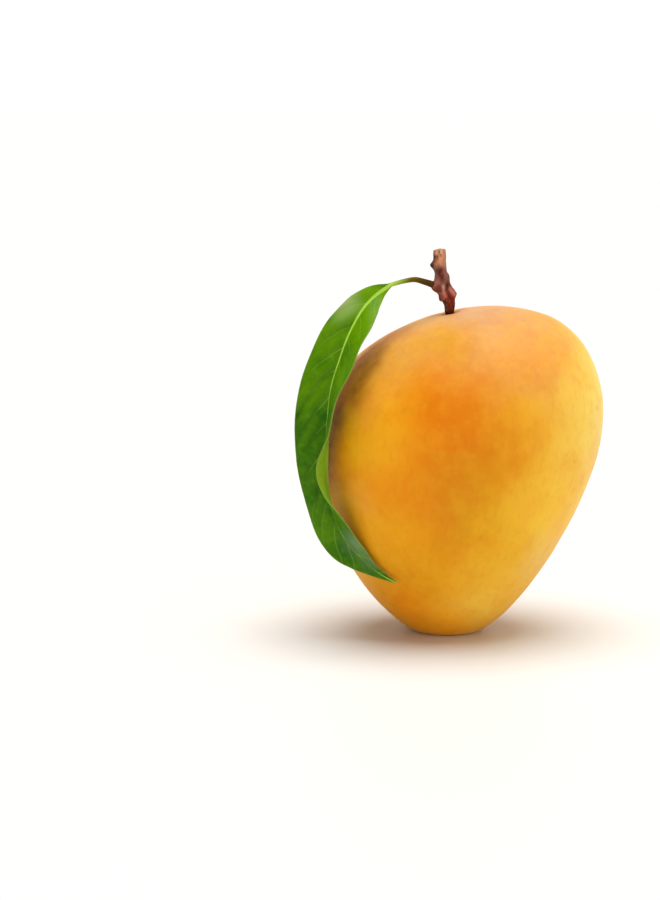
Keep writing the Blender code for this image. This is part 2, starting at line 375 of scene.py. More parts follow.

# Patches of colour and of painted sheen, light and shade, in millimetres: centre, reach, strength
# and colour
SKIN_PATCHES_AND_PAINTED_LIGHT = [
    # Painted sheen over the fruit's own yellow: the pale right flank
    ((34, -14, 60), 30, 0.80, paint(244, 196, 70)),
    ((42, -8, 68), 24, 0.90, paint(248, 220, 104)),
    # Painted sheen over the fruit's own peach: the pale crown
    ((10, -14, 94), 26, 0.85, paint(198, 158, 138)),
    ((-20, -4, 86), 17, 0.75, paint(206, 144, 88)),
    ((21, -22, 86), 20, 0.75, paint(228, 158, 70)),
    ((22, -23, 84), 13, 0.75, paint(234, 154, 66)),
    ((-22, -20, 77), 13, 0.80, paint(214, 162, 90)),
    # Painted light and sheen over the fruit's yellow: the paler rim low on the right
    ((38, -4, 42), 22, 0.75, paint(255, 208, 100)),
    ((41, -2, 56), 16, 0.75, paint(250, 216, 118)),
    # Painted sheen over the peach: the crown left of the stalk
    ((-7, -13, 89), 11, 0.80, paint(240, 184, 116)),
    ((-1, -20, 86), 14, 1.00, paint(214, 150, 0)),
    ((-33, -12, 68), 20, 0.80, paint(216, 118, 8)),
    ((-34, -12, 48), 20, 0.80, paint(222, 122, 2)),
    ((-4, -34, 65), 24, 1.00, paint(228, 116, 0)),
    ((-14, -32, 50), 24, 0.75, paint(248, 146, 0)),
    ((-24, -24, 62), 18, 0.85, paint(255, 186, 26)),
    ((8, -34, 50), 20, 0.75, paint(220, 136, 0)),
    ((4, -31, 36), 20, 0.75, paint(208, 130, 2)),
    ((20, -28, 34), 22, 0.65, paint(238, 188, 26)),
    ((30, -20, 38), 20, 0.65, paint(246, 200, 66)),
    ((-18, -18, 30), 18, 0.60, paint(240, 172, 8)),
    ((-14, -18, 16), 16, 0.65, paint(212, 138, 6)),
    ((-10, -18, 7), 12, 0.55, paint(250, 146, 6)),
    ((12, -16, 10), 17, 0.75, paint(250, 210, 82)),
    ((1, -12, 3), 10, 0.85, paint(255, 172, 26)),
    ((16, -22, 22), 16, 0.45, paint(226, 176, 44)),
    # Painted sheen over the fruit's yellow: the paler rim at the lower right
    ((27, -14, 24), 12, 0.55, paint(232, 202, 112)),
    # Partly painted shade: a browner orange on the left cheek, into which the painted shade along the
    # rim fades
    ((-32, 4, 64), 20, 0.50, paint(206, 118, 14)),
    # Painted light: a lighter patch low on the left cheek
    ((-29, -22, 42), 11, 0.80, paint(255, 178, 60)),
    ((-31, -20, 54), 8, 0.50, paint(232, 124, 26)),
    ((-25, -22, 70), 7, 0.45, paint(240, 156, 66)),
    # Painted shade of the leaf and of fruits not built here: dark brown along the left rim and the
    # crown's left edge
    ((-34, -15, 48), 6, 0.50, paint(150, 78, 12)),
    ((-34, -15, 56), 7, 0.85, paint(112, 54, 10)),
    ((-34, -15, 64), 7, 0.90, paint(108, 42, 12)),
    ((-31, -14, 71), 7, 0.65, paint(122, 56, 24)),
    ((-27, -9, 78), 8, 0.80, paint(104, 52, 16)),
    ((-22, -5, 83), 9, 0.85, paint(122, 60, 14)),
    ((-15, -5, 87.5), 9, 0.65, paint(164, 92, 24)),
    ((18, 30, 66), 28, 0.65, paint(232, 130, 4)),
    ((-20, 26, 40), 26, 0.55, paint(232, 162, 10)),
    ((-14, 22, 80), 24, 0.55, paint(230, 158, 56)),
    ((28, 24, 34), 22, 0.50, paint(236, 184, 44)),
]
PATCH_SPREAD = 1.35
PORE_SPACING = 2.6 * MM
SPECK_SPACING = 9.0 * MM


def patch_share(bench, place, centre, reach):
    """1 at the middle of a patch and 0 at its reach, eased."""
    middle = tuple(part * MM for part in centre)
    distance = bench.vector("DISTANCE", place, middle, output="Value")
    return (1 - distance / (reach * MM)).soft()


def noise(bench, place, size, detail=3.0, roughness=0.5):
    """Noise whose lumps are about as large as the size, in metres."""
    return bench.get("Fac", "ShaderNodeTexNoise", None,
                     {"Vector": place, "Scale": 1 / size, "Detail": detail, "Roughness": roughness})


def faded(distance, full, width):
    """1 up to a distance in millimetres, eased to 0 over this width beyond it."""
    return (1 - (distance / MM - full) / width).soft()


def bent_place(bench, place, size, detail, reach):
    """The place, pushed about by noise of this size."""
    push = bench.get("Color", "ShaderNodeTexNoise", None,
                     {"Vector": place, "Scale": 1 / size, "Detail": detail})
    push = bench.vector("SUBTRACT", push, (0.5, 0.5, 0.5))
    return bench.vector("ADD", place, bench.scaled(push, reach))


def spots(bench, place, spacing, randomness, reach):
    """1 at the middle of each spot and 0 at its reach, as a share of the spacing."""
    distance = bench.get("Distance", "ShaderNodeTexVoronoi", None,
                         {"Vector": place, "Scale": 1 / spacing, "Randomness": randomness})
    return (1 - distance / reach).soft()


def make_skin():
    material, bench, shader = new_finish("skin", {
        "Subsurface Weight": 0.12,
        "Subsurface Radius": (1.0, 0.45, 0.12),
        "Subsurface Scale": 2.5 * MM,
        "Specular IOR Level": 0.12,
        "Sheen Weight": 0.08,
        "Sheen Roughness": 0.32,
        "Sheen Tint": (1.0, 0.86, 0.66, 1.0),
    })
    place = bench.get("Object", "ShaderNodeTexCoord")
    bent = bent_place(bench, place, 16 * MM, 3.0, 15 * MM)
    colour = SKIN_GOLD
    # The patches include painted sheen, painted light and painted shade.
    for centre, reach, strength, patch in SKIN_PATCHES_AND_PAINTED_LIGHT:
        share = patch_share(bench, bent, centre, reach * PATCH_SPREAD)
        colour = bench.mix(share * strength, colour, patch)
    cloud = noise(bench, bent, 9 * MM, 4.0)
    colour = bench.mix((cloud * 2.4 - 0.9).soft() * 0.22, colour, paint(228, 110, 0))
    cloud = noise(bench, place, 4 * MM, 5.0, 0.6)
    colour = bench.mix((cloud * 3 - 1.1).soft() * 0.18, colour, paint(248, 190, 40))
    streaks = noise(bench, bench.vector("MULTIPLY", place, (1.0, 1.0, 0.4)), 1.6 * MM, 3.0, 0.6)
    colour = bench.mix((streaks * 4 - 1.9).soft() * 0.15, colour, paint(208, 104, 2))
    olive = noise(bench, place, 2.6 * MM, 2.0)
    colour = bench.mix((olive * 5 - 3.0).soft() * 0.20, colour, paint(190, 142, 20))
    pore = spots(bench, place, PORE_SPACING, 0.9, 0.2)
    pore = pore * (noise(bench, place, 20 * MM) * 3 - 1.0).clamp()
    colour = bench.mix(pore * 0.4, colour, paint(240, 190, 70))
    speck = spots(bench, place, SPECK_SPACING, 1.0, 0.035)
    speck = speck * (noise(bench, place, 30 * MM) * 4 - 1.7).clamp()
    colour = bench.mix(speck * 0.7, colour, paint(120, 66, 24))
    from_stalk = bench.vector("DISTANCE", place, tuple(bowl_centre), output="Value")
    colour = bench.mix(faded(from_stalk, 2.4, 5.0) * 0.6, colour, paint(206, 118, 34))
    colour = bench.mix(faded(from_stalk, 1.8, 2.0) * 0.85, colour, paint(150, 62, 8))
    plug(bench.tree, shader.inputs["Base Color"], colour)
    plug(bench.tree, shader.inputs["Roughness"], noise(bench, place, 7 * MM) * 0.16 + 0.38)
    height = noise(bench, place, 0.9 * MM, 2.0) * 0.35 - pore * 0.5
    roughened(bench, shader, height, 0.06 * MM)
    return material


skin = make_skin()
print("skin:", len(skin.node_tree.nodes), "nodes")

# %% [markdown]
# The skin itself is grown from a UV sphere, whose pole is tipped to where the stalk stands, so
# that the rings close under the stalk and inside the flat spot, where no one sees them. Set
# Position moves every point by the rule, sinks the bowl round the stalk and eases the foot flat.

# %% The fruit
FRUIT_SEGMENTS = 256
FRUIT_RINGS = 176
SOFTNESS_OF_FLAT = 1.6 * MM
RIPPLE = 0.25 * MM


def fruit_tree(material, sizes):
    tree, bench, size = geometry_tree("mango skin", sizes)
    ball = bench.get("Mesh", "GeometryNodeMeshUVSphere", None,
                     {"Segments": FRUIT_SEGMENTS, "Rings": FRUIT_RINGS, "Radius": 1.0})
    tip = Vector((0, 0, 1)).rotation_difference(STALK_DIRECTION).to_euler()
    ball = bench.get("Geometry", "GeometryNodeTransform", None,
                     {"Geometry": ball, "Rotation": tuple(tip)})
    direction = bench.get("Position", "GeometryNodeInputPosition")
    x, y, z = bench.parts(direction)
    place = skin_rule(x, y, z, size)
    point = bench.get("Vector", "ShaderNodeCombineXYZ", None, dict(enumerate(place)))
    ripple = noise(bench, point, 13 * MM, 1.0) - 0.5
    point = bench.vector("ADD", point, bench.scaled(direction, ripple * size["Ripple"] * 2))
    distance = bench.vector("DISTANCE", point, size["Bowl Centre"], output="Value")
    reach = 1 - ((distance / size["Bowl Radius"]) ** 2).clamp()
    sunk = bench.scaled(size["Bowl Normal"], -reach * reach * size["Bowl Depth"])
    point = bench.vector("ADD", point, sunk)
    x, y, z = bench.parts(point)
    flat = z.maths("SMOOTH_MAX", 0.0, SOFTNESS_OF_FLAT)
    point = bench.get("Vector", "ShaderNodeCombineXYZ", None, {0: x, 1: y, 2: flat})
    moved = bench.get("Geometry", "GeometryNodeSetPosition", None,
                      {"Geometry": ball, "Position": point})
    close_tree(bench, moved, material)
    return tree


def make_fruit():
    sizes = dict(FRUIT)
    sizes["Bowl Radius"] = BOWL_RADIUS
    sizes["Bowl Depth"] = BOWL_DEPTH
    sizes["Ripple"] = RIPPLE
    sizes["Bowl Centre"] = tuple(bowl_centre)
    sizes["Bowl Normal"] = tuple(bowl_normal)
    tree = fruit_tree(skin, sizes)
    seed = start_mesh("seed", [(0, 0, 0)], [])
    fruit = grown_mesh("fruit_skin", seed, tree, sizes, skin)
    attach(fruit, "root")
    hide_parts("fruit")
    return fruit


fruit = make_fruit()
print("lowest point of the fruit:", round(min(v.co.z for v in fruit.data.vertices) / MM, 3), "mm")

# %% [markdown]
# The stalk and the leaf both follow a bent line. These two helpers read a smooth curve through a
# few rows of numbers and space points evenly along it. A row may hold more than a place, such as
# a radius, and that is carried along the curve too.

# %% Smooth lines


def blend_rows(rows, share):
    """Read a smooth curve through rows of numbers, at a share of its length in rows."""
    place = min(max(share, 0.0), 1.0) * (len(rows) - 1)
    start = min(int(place), len(rows) - 2)
    step = place - start
    before = rows[max(start - 1, 0)]
    here = rows[start]
    there = rows[start + 1]
    after = rows[min(start + 2, len(rows) - 1)]
    return [
        0.5 * (2 * b + (c - a) * step + (2 * a - 5 * b + 4 * c - d) * step**2
               + (3 * b - a - 3 * c + d) * step**3)
        for a, b, c, d in zip(before, here, there, after)
    ]


def even_line(rows, count):
    """Points at even distances along the smooth curve through the rows."""
    fine = 60 * len(rows)
    curve = [blend_rows(rows, i / fine) for i in range(fine + 1)]
    lengths = [0.0]
    for first, second in zip(curve, curve[1:]):
        lengths.append(lengths[-1] + (Vector(second[:3]) - Vector(first[:3])).length)
    points = []
    index = 0
    for i in range(count):
        target = lengths[-1] * i / (count - 1)
        while index < fine - 1 and lengths[index + 1] < target:
            index += 1
        step = (target - lengths[index]) / (lengths[index + 1] - lengths[index])
        points.append([a + (b - a) * step for a, b in zip(curve[index], curve[index + 1])])
    return points


# %% [markdown]
# The stalk is a crooked peg of young wood: a node with a collar where the leaf left it, a black
# bud, a long scar on a stub and a narrow neck in the skin's bowl. It could be sculpted by hand,
# but a lofted tube with lumps pushed out of it has all of those, and each lump stays one row of
# numbers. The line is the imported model's own, and so are its lumps, a few of them slightly
# stronger. Finer furrows are added here, and the foot reaches down into the bowl.

# %% The stalk's loft
STALK_LINE = [
    (0.4, -0.2, 95.4, 1.6),
    (-0.1, -0.4, 97.3, 1.95),
    (-0.8, -0.7, 99.2, 2.1),
    (-1.6, -1.0, 101.0, 2.2),
    (-2.0, -1.1, 103.0, 2.0),
    (-2.3, -1.1, 105.2, 1.8),
    (-2.5, -1.1, 107.6, 1.8),
    (-2.65, -1.0, 109.6, 1.85),
    (-2.7, -1.0, 111.2, 1.7),
]
FOOT_RADIUS = 1.2
COLLAR_RADIUS = 1.35
COLLAR_HEIGHT = 0.9
FOOT_DEPTH = 1.1
RIDGE_HEIGHT = 0.07
FINE_RIDGE_HEIGHT = 0.05
END_SLOPE = 0.12
END_ROUNDING = 0.35
STALK_RINGS = 220
STALK_SEGMENTS = 110
CAP_RINGS = 10

# Lumps and furrows: height, direction, bulge, reach up and reach down, and half angle
STALK_LUMPS = [
    (107.1, 182.0, 1.10, 1.0, 1.25, 26.0),
    (101.3, 188.0, 1.40, 1.3, 1.15, 38.0),
    (97.5, 196.0, 0.75, 1.7, 0.45, 38.0),
    (97.9, -18.0, 1.0, 1.5, 0.9, 32.0),
    (103.6, -8.0, 0.42, 0.9, 1.0, 36.0),
    (104.0, 100.0, 0.35, 1.6, 1.6, 45.0),
    (109.8, -70.0, 0.25, 1.3, 1.3, 35.0),
    (99.2, -72.0, -0.55, 2.0, 2.6, 12.0),
    (100.0, -104.0, 0.28, 2.6, 2.2, 11.0),
    (98.4, -48.0, 0.35, 1.3, 1.5, 16.0),
    (96.2, -92.0, 0.25, 0.8, 0.5, 20.0),
    (103.8, -60.0, -0.18, 1.5, 1.2, 14.0),
    (105.6, -110.0, -0.14, 1.2, 1.0, 13.0),
]


def lump_height(height, angle):
    """How far the stalk bulges at a height and an angle in degrees, in millimetres."""
    bulge = 0.0
    for centre, direction, size, reach_up, reach_down, half_angle in STALK_LUMPS:
        above = height - centre
        reach = reach_up if above > 0 else reach_down
        turn = (angle - direction + 180) % 360 - 180
        bulge += size * math.exp(-(above / reach) ** 2 - (turn / half_angle) ** 2)
    ridges = RIDGE_HEIGHT * math.cos(math.radians(3 * angle) + 0.5 * height)
    fine_ridges = FINE_RIDGE_HEIGHT * math.cos(math.radians(7 * angle) - 0.35 * height)
    return bulge + ridges + fine_ridges


def stalk_loft():
    """Points and faces of the stalk, with a closed foot and a cap of rings on the broken end."""
    foot = (bowl_centre - bowl_normal * FOOT_DEPTH * MM) / MM
    collar = foot + bowl_normal * COLLAR_HEIGHT
    line = even_line([(*foot, FOOT_RADIUS), (*collar, COLLAR_RADIUS)] + STALK_LINE, STALK_RINGS)
    rows = [(row, 1.0) for row in line]
    rows += [(line[-1], 1 - (k / CAP_RINGS) ** 1.5) for k in range(1, CAP_RINGS)]
    points = []
    for i, ((x, y, z, radius), share) in enumerate(rows):
        before = Vector(line[max(min(i, len(line) - 1) - 1, 0)][:3])
        after = Vector(line[min(i + 1, len(line) - 1)][:3])
        along = (after - before).normalized()
        side = (Vector((1, 0, 0)) - along * along.x).normalized()
        front = along.cross(side)
        rounding = END_ROUNDING * (1 - share**2)
        for j in range(STALK_SEGMENTS):
            angle = 360 * j / STALK_SEGMENTS
            out = side * math.cos(math.radians(angle)) + front * math.sin(math.radians(angle))
            wide = (radius + lump_height(z, angle)) * share
            slope = END_SLOPE * out.x * wide if i >= len(line) - 1 else 0.0
            points.append((Vector((x, y, z)) + out * wide + along * (slope + rounding)) * MM)
    count = STALK_SEGMENTS
    faces = []
    for i in range(len(rows) - 1):
        for j in range(count):
            following = (j + 1) % count
            faces.append((i * count + j, i * count + following,
                          (i + 1) * count + following, (i + 1) * count + j))
    faces.append(tuple(range(count))[::-1])
    faces.append(tuple((len(rows) - 1) * count + j for j in range(count)))
    return start_mesh("stalk_loft", points, faces)


# %% [markdown]
# Young mango bark is grey brown with a mauve tint, salmon where the end is broken, and dark red
# brown low down. Colour runs with the height. Cracks, read from the same stretched noise as the
# relief, are darker, and ridges paler. A few pale flecks, on the broken end, on the right edge and
# on the foot, are painted highlights.

# %% Finish of the bark
BARK_LOWEST = 93.0
BARK_SPAN = 19.0
BARK_STOPS = [
    (0.00, paint(74, 26, 12)),
    (0.14, paint(92, 38, 22)),
    (0.30, paint(124, 62, 44)),
    (0.42, paint(134, 76, 58)),
    (0.55, paint(116, 72, 60)),
    (0.68, paint(122, 78, 64)),
    (0.80, paint(172, 112, 84)),
    (1.00, paint(206, 146, 112)),
]

# A mark on the bark is longer upwards than across, by one over this share
MARK_SQUEEZE = 0.7

# Marks on the bark, a few of them painted highlights, in millimetres: centre, reach across,
# strength and colour
BARK_MARKS_AND_PAINTED_HIGHLIGHTS = [
    ((-2.6, -2.9, 108.4), 2.6, 0.85, paint(232, 160, 122)),
    ((-4.3, -1.8, 109.0), 1.4, 1.00, paint(84, 50, 42)),
    # Painted highlight: a grey lilac streak along the right edge
    ((-1.2, -2.2, 107.2), 1.6, 0.75, paint(166, 126, 112)),
    ((-3.4, -2.8, 109.2), 0.8, 1.00, paint(120, 52, 24)),
    ((-2.5, -2.9, 109.8), 0.7, 0.95, paint(140, 66, 30)),
    ((-3.1, -2.8, 110.9), 0.7, 0.95, paint(104, 72, 52)),
    # Painted highlights: two pale cream flecks on the notched broken end
    ((-3.6, -2.6, 110.5), 0.8, 0.70, paint(236, 190, 150)),
    ((-2.2, -2.8, 111.0), 0.8, 0.70, paint(236, 192, 156)),
    ((-5.2, -1.2, 107.0), 2.0, 1.00, paint(30, 16, 14)),
    ((-2.7, -2.9, 105.0), 1.9, 0.95, paint(88, 28, 14)),
    ((-0.9, -2.4, 104.2), 1.8, 0.85, paint(150, 98, 90)),
    ((-3.9, -2.0, 104.3), 1.3, 0.85, paint(130, 100, 88)),
    ((-2.2, -2.9, 103.2), 1.3, 0.95, paint(92, 36, 22)),
    ((-3.7, -2.5, 102.1), 2.0, 1.00, paint(186, 110, 100)),
    ((-3.1, -2.6, 100.2), 1.7, 0.95, paint(112, 54, 46)),
    ((-1.6, -3.0, 100.8), 1.1, 0.90, paint(204, 152, 134)),
    ((-1.4, -2.9, 99.3), 1.1, 0.95, paint(204, 148, 132)),
    ((0.4, -2.6, 99.6), 1.3, 0.95, paint(206, 124, 106)),
    ((1.4, -2.4, 98.4), 1.3, 0.95, paint(206, 118, 104)),
    ((-2.4, -2.4, 98.0), 1.3, 0.85, paint(178, 98, 80)),
    ((-0.9, -2.8, 98.1), 1.3, 0.90, paint(206, 116, 108)),
    ((2.9, -0.9, 98.2), 1.5, 1.00, paint(66, 34, 38)),
    ((-2.8, -2.3, 97.0), 1.0, 0.95, paint(112, 28, 14)),
    ((-0.3, -2.9, 101.3), 1.2, 1.00, paint(54, 6, 6)),
    ((-0.6, -2.9, 100.0), 1.1, 1.00, paint(104, 8, 4)),
    ((-0.1, -2.8, 98.9), 1.1, 1.00, paint(104, 8, 6)),
    ((0.8, -2.3, 97.0), 1.5, 1.00, paint(132, 22, 2)),
    ((0.9, -2.0, 95.8), 1.4, 0.95, paint(130, 34, 4)),
    # Painted highlight: a small grey fleck on the dark red foot
    ((0.0, -2.3, 96.6), 0.7, 0.60, paint(126, 88, 74)),
    ((0.2, -1.9, 94.9), 1.7, 0.85, paint(130, 52, 10)),
]


def bark_cracks(bench, place):
    """0 on a ridge of the bark and 1 in a crack, from noise stretched along the stalk."""
    long_way = bench.vector("MULTIPLY", place, (1.0, 1.0, 0.42))
    coarse = noise(bench, long_way, 0.9 * MM, 3.0, 0.6)
    fine = noise(bench, long_way, 0.35 * MM, 2.0, 0.6)
    return ((coarse * 0.65 + fine * 0.35 - 0.44) * 6).clamp()


def make_bark():
    material, bench, shader = new_finish("bark", {"Specular IOR Level": 0.16})
    place = bench.get("Object", "ShaderNodeTexCoord")
    _, _, height = bench.parts(place)
    wander = noise(bench, place, 2.5 * MM) - 0.5
    level = ((height + wander * 3 * MM) / MM - BARK_LOWEST) / BARK_SPAN
    colour = bench.get("Color", "ShaderNodeValToRGB", {"stops": BARK_STOPS}, {"Fac": level})
    cracks = bark_cracks(bench, place)
    colour = bench.mix(cracks * 0.55, colour, paint(62, 26, 16))
    pale = (noise(bench, place, 0.8 * MM, 3.0) * 4 - 2.1).clamp()
    colour = bench.mix(pale * 0.45, colour, paint(196, 150, 134))
    bent = bent_place(bench, place, 1.2 * MM, 2.0, 1.0 * MM)
    squeezed = bench.vector("MULTIPLY", bent, (1.0, 1.0, MARK_SQUEEZE))
    for (x, y, z), reach, strength, mark in BARK_MARKS_AND_PAINTED_HIGHLIGHTS:
        share = patch_share(bench, squeezed, (x, y, z * MARK_SQUEEZE), reach)
        colour = bench.mix(share * strength, colour, mark)
    plug(bench.tree, shader.inputs["Base Color"], colour)
    plug(bench.tree, shader.inputs["Roughness"], cracks * 0.15 + 0.62)
    roughened(bench, shader, noise(bench, place, 0.25 * MM, 3.0), 0.05 * MM)
    return material


bark = make_bark()
print("bark:", len(bark.node_tree.nodes), "nodes")

# %% [markdown]
# Geometry Nodes roughen the loft along its normals: cracks sink and ridges rise. The cracks come
# from the same noise as the finish, so the deep places are the dark ones.

# %% The stalk
STALK_SIZES = {"Crack Depth": 0.16 * MM, "Ridge Height": 0.10 * MM}


def make_stalk():
    tree, bench, size = geometry_tree("bark relief", STALK_SIZES)
    place = bench.get("Position", "GeometryNodeInputPosition")
    normal = bench.get("Normal", "GeometryNodeInputNormal")
    cracks = bark_cracks(bench, place)
    ridges = noise(bench, place, 1.6 * MM, 2.0) - 0.5
    rise = ridges * size["Ridge Height"] * 2 - cracks * size["Crack Depth"]
    moved = bench.get("Geometry", "GeometryNodeSetPosition", None,
                      {"Geometry": size["Geometry"], "Offset": bench.scaled(normal, rise)})
    close_tree(bench, moved, bark)
    stalk = grown_mesh("stem_bark", stalk_loft(), tree, STALK_SIZES, bark)
    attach(stalk, "root")
    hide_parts("stem")
    return stalk


stalk = make_stalk()

# %% [markdown]
# The leaf is one skin from the petiole to the tip. A flat blade could be bent by modifiers, but
# its fold changes all the way down, so it is lofted from cuts. At every cut, two halves leave the
# midrib at their own angles: the left half faces the viewer, and the right half folds up until,
# past the middle, its pale underside shows. The line, the widths and the angles are those of the
# imported model's leaf, but the petiole starts inside the stalk. The blade here is thinner, with a
# round margin, and has many more points across, so that veins can be raised on it.

# %% The leaf's sizes
PETIOLE_LINE = [
    (-4.2, -1.4, 101.2),
    (-7.2, -2.7, 102.25),
    (-9.8, -3.9, 102.95),
    (-13.0, -5.2, 102.6),
]
PETIOLE_LENGTH = 14.0 * MM
PETIOLE_RADIUS = 0.60 * MM
JOINT_RADIUS = 1.0 * MM
JOINT_GROWTH = 1.5
MIDRIB_LINE = [
    (-16.8, -6.8, 101.7),
    (-21.4, -8.9, 98.5),
    (-25.2, -11.0, 94.2),
    (-28.8, -13.4, 87.4),
    (-31.3, -15.4, 80.6),
    (-33.4, -16.9, 73.6),
    (-34.5, -18.2, 64.5),
    (-35.0, -18.8, 55.0),
    (-34.9, -18.6, 46.0),
    (-33.0, -18.1, 38.2),
    (-29.7, -18.2, 30.6),
    (-25.2, -19.4, 25.4),
    (-20.6, -21.0, 21.5),
    (-15.3, -22.4, 18.5),
]

# Stations along the blade: share of its length, half widths to the right and to the left, and
# the angles at which these halves leave the midrib, from across (0) towards the viewer (90)
BLADE_STATIONS = [
    (0.00, 0.65, 0.65, 0.0, 0.0),
    (0.035, 1.7, 2.4, 15.0, 0.0),
    (0.06, 3.0, 3.6, 40.0, -3.0),
    (0.10, 4.9, 5.2, 48.0, -6.0),
    (0.18, 7.8, 7.5, 63.0, -9.0),
    (0.28, 9.1, 8.8, 73.0, -10.0),
    (0.38, 9.6, 9.5, 84.0, -10.0),
    (0.48, 9.8, 9.8, 95.0, -10.0),
    (0.57, 9.3, 8.8, 112.0, -10.0),
    (0.65, 8.7, 7.6, 103.0, -12.0),
    (0.71, 7.9, 7.4, 86.0, -12.0),
    (0.77, 6.9, 7.2, 70.0, -9.0),
    (0.83, 5.2, 6.2, 60.0, -4.0),
    (0.88, 3.4, 4.2, 50.0, 4.0),
    (0.92, 1.9, 2.4, 44.0, 8.0),
    (0.96, 1.0, 1.1, 20.0, 5.0),
    (1.00, 0.3, 0.3, 0.0, 0.0),
]
BLADE_HALF_THICKNESS = 0.22 * MM
MARGIN_HALF_THICKNESS = 0.08 * MM
MARGIN_WIDTH = 0.6 * MM
FAR_FROM_MARGIN = 10.0 * MM
MIDRIB_BULGE = 0.42 * MM
MIDRIB_REACH = 0.8 * MM
RIB_TAPER = 1.15
MARGIN_CURL = 12.0
MARGIN_WAVE = 5.0
WAVES_ALONG = 5.5
SHOULDER_SHARE = 0.035
ROUND_SHARE = 0.98
LEAF_RINGS = 400
PETIOLE_RINGS = 50
HALF_ACROSS = 34
ACROSS = [i / HALF_ACROSS for i in range(-HALF_ACROSS, HALF_ACROSS + 1)]

# What each point knows: its distance from the midrib and from the margin, whether it is on the
# upper side, and its distance along the midrib
LEAF_ATTRIBUTES = ("across", "rim", "upper", "along")


def station(share):
    """Half widths and fold angles of the blade at a share of its length."""
    index = 0
    while index < len(BLADE_STATIONS) - 2 and BLADE_STATIONS[index + 1][0] < share:
        index += 1
    first = BLADE_STATIONS[index]
    second = BLADE_STATIONS[index + 1]
    step = (share - first[0]) / (second[0] - first[0])
    return blend_rows([row[1:] for row in BLADE_STATIONS], (index + step) / (len(BLADE_STATIONS) - 1))


def half_section(centre, across, up, half_width, fold, curl, wave):
    """Points and normals of one half of a cut across the leaf, from the midrib outwards."""
    points = []
    normals = []
    place = centre
    previous = 0.0
    for reach in ACROSS[HALF_ACROSS + 1:]:
        angle = math.radians(fold - curl * reach + wave * reach**2)
        direction = across * math.cos(angle) + up * math.sin(angle)
        place = place + direction * (reach - previous) * half_width
        previous = reach
        points.append(place)
        normals.append(up * math.cos(angle) - across * math.sin(angle))
    return points, normals


def leaf_section(share, in_blade, centre, along):
    """Rows of (point, across, rim, upper) for the upper and the lower side of one cut."""
    up = (Vector((0, -1, 0)) + along * along.y).normalized()
    right = up.cross(along)
    radius = PETIOLE_RADIUS
    if in_blade:
        wide_right, wide_left, fold_right, fold_left = station(share)
        wide_right *= MM
        wide_left *= MM
        flatness = min(share / SHOULDER_SHARE, 1.0)
    else:
        radius += (JOINT_RADIUS - PETIOLE_RADIUS) * (1 - share) ** JOINT_GROWTH
        wide_right = wide_left = radius * ROUND_SHARE
        fold_right = fold_left = flatness = 0.0
    flatness = flatness**2 * (3 - 2 * flatness)
    curl = MARGIN_CURL * flatness
    wave = MARGIN_WAVE * math.sin(2 * math.pi * WAVES_ALONG * share) * flatness
    points_right, normals_right = half_section(centre, right, up, wide_right, fold_right, curl, wave)
    points_left, normals_left = half_section(centre, -right, up, wide_left, fold_left, curl, wave)
    half_fold = math.radians((fold_right + fold_left) / 2)
    lean = math.radians((fold_left - fold_right) / 2)
    mitre = (up * math.cos(lean) + right * math.sin(lean)) / math.cos(half_fold)
    points = points_left[::-1] + [centre] + points_right
    normals = normals_left[::-1] + [mitre] + normals_right
    upper = []
    lower = []
    for reach, point, normal in zip(ACROSS, points, normals):
        round_half = radius * math.sqrt(1 - (ROUND_SHARE * reach) ** 2)
        wide = wide_right if reach > 0 else wide_left
        distance = abs(reach) * wide
        edge = max(wide - distance, 0.0)
        inward = min(edge / MARGIN_WIDTH, 1.0)
        half = MARGIN_HALF_THICKNESS + (BLADE_HALF_THICKNESS - MARGIN_HALF_THICKNESS) * inward**0.5
        rib = MIDRIB_BULGE * (RIB_TAPER - share) * math.exp(-(distance / MIDRIB_REACH) ** 2)
        upper_half = round_half + (half - round_half) * flatness
        lower_half = round_half + (half + rib - round_half) * flatness
        signed = math.copysign(distance, reach)
        rim = edge if in_blade else FAR_FROM_MARGIN
        upper.append((point + normal * upper_half, signed, rim, 1.0))
        lower.append((point - normal * lower_half, signed, rim, 0.0))
    return upper, lower


def leaf_loft():
    """The leaf's skin, with attributes that say where on the leaf each point is."""
    petiole = even_line(PETIOLE_LINE + MIDRIB_LINE[:1], PETIOLE_RINGS)
    blade = even_line(MIDRIB_LINE, LEAF_RINGS)
    blade_length = sum((Vector(b) - Vector(a)).length for a, b in zip(blade, blade[1:])) * MM
    cuts = [(i / (PETIOLE_RINGS - 1), False, row) for i, row in enumerate(petiole[:-1])]
    cuts += [(i / (LEAF_RINGS - 1), True, row) for i, row in enumerate(blade)]
    places = [Vector(row) * MM for _, _, row in cuts]
    points = []
    for i, (share, in_blade, _) in enumerate(cuts):
        before = places[max(i - 1, 0)]
        after = places[min(i + 1, len(places) - 1)]
        upper, lower = leaf_section(share, in_blade, places[i], (after - before).normalized())
        along = share * blade_length if in_blade else (share - 1) * PETIOLE_LENGTH
        points += [(*row, along) for row in upper + lower[::-1]]
    ring = 2 * len(ACROSS)
    faces = []
    for i in range(len(cuts) - 1):
        for j in range(ring):
            following = (j + 1) % ring
            faces.append((i * ring + following, i * ring + j,
                          (i + 1) * ring + j, (i + 1) * ring + following))
    faces.append(tuple(range(ring)))
    faces.append(tuple((len(cuts) - 1) * ring + j for j in range(ring))[::-1])
    mesh = start_mesh("leaf_loft", [row[0] for row in points], faces)
    for index, name in enumerate(LEAF_ATTRIBUTES, start=1):
        attribute = mesh.attributes.new(name, "FLOAT", "POINT")
        attribute.data.foreach_set("value", [row[index] for row in points])
    print("the blade is", round(blade_length / MM, 1), "mm long")
    return mesh


